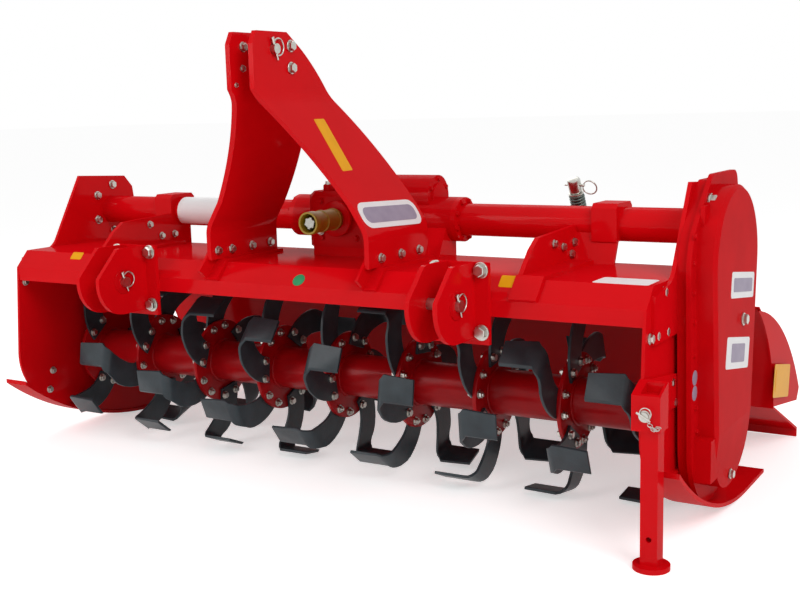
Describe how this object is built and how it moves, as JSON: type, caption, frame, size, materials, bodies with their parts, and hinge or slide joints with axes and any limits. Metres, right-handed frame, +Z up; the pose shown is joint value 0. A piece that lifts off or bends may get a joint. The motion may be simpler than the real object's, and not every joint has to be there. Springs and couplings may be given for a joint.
{
  "type": "rotary tiller",
  "caption": "Tractor-mounted rotary tiller: bladed rotor under a hood, side gear case, gearbox, A-shaped hitch mast, skids, parking stand and a hinged rear board on two adjuster rods.",
  "frame": {"origin": "on the ground under the rotor's axis, at the middle flange", "axes": "+X towards the gear case end along the rotor, -Y towards the tractor, +Z up"},
  "size_m": [2.203, 1.338, 1.226],
  "materials": {
    "red_paint": "gloss",
    "dark_steel": "satin",
    "zinc": "satin",
    "guard_yellow": "matte"
  },
  "bodies": {
    "frame": {"front_beam": "red_paint", "rotor_hood": "red_paint", "side_plate_left": "red_paint", "side_plate_right": "red_paint", "tube_end_plate_left": "red_paint", "tube_end_plate_right": "red_paint", "cross_tube_left": "red_paint", "cross_tube_right": "red_paint", "gearbox": "red_paint", "gearbox_seat": "red_paint", "mast_plate_left": "red_paint", "mast_plate_right": "red_paint", "mast_rail_left": "red_paint", "mast_rail_right": "red_paint", "hitch_bracket_left": "red_paint", "hitch_bracket_right": "red_paint", "tube_bracket_left": "red_paint", "tube_bracket_right": "red_paint", "gear_case": "red_paint", "gear_case_cover": "red_paint", "rotor_bearing_right": "red_paint", "rotor_bearing_left": "red_paint", "skid_left": "red_paint", "skid_right": "red_paint", "stand_sleeve": "red_paint", "adjuster_arm_left": "red_paint", "adjuster_arm_right": "red_paint", "hinge_rod": "zinc", "top_link_pin": "zinc", "hitch_pin_left": "zinc", "hitch_pin_right": "zinc", "pto_guard": "guard_yellow"},
    "input_shaft": {"pto_shaft": "zinc"},
    "rotor": {"rotor": "red_paint", "blades_1": "dark_steel", "blades_2": "dark_steel", "blades_3": "dark_steel", "blades_4": "dark_steel", "blades_5": "dark_steel", "blades_6": "dark_steel", "blades_7": "dark_steel", "blades_8": "dark_steel", "blades_9": "dark_steel"},
    "stand": {"stand_leg": "red_paint"},
    "board": {"rear_board": "red_paint"},
    "adjusters": {"adjuster_left": "zinc", "adjuster_right": "zinc"}
  },
  "joints": [
    {"name": "rotor_spin", "type": "hinge", "parent": "frame", "child": "rotor", "pos_m": [0, 0, 0.262], "axis": [1, 0, 0], "continuous": true},
    {"name": "input_spin", "type": "hinge", "parent": "frame", "child": "input_shaft", "pos_m": [0.031, 0, 0.728], "axis": [0, 1, 0], "continuous": true},
    {"name": "board_hinge", "type": "hinge", "parent": "frame", "child": "board", "pos_m": [0, 0.3, 0.505], "axis": [1, 0, 0], "range_deg": [0, 35]},
    {"name": "stand_slide", "type": "slide", "parent": "frame", "child": "stand", "axis": [0, 0, 1], "range_m": [0, 0.18]},
    {"name": "adjuster_swing", "type": "hinge", "parent": "board", "child": "adjusters", "pos_m": [0, 0.483, 0.37], "axis": [1, 0, 0], "range_deg": [-16, 0]}
  ],
  "couplings": [
    {"joint": "input_spin", "follows": "rotor_spin", "ratio": 2.25},
    {"joint": "adjuster_swing", "follows": "board_hinge", "ratio": -0.437}
  ]
}
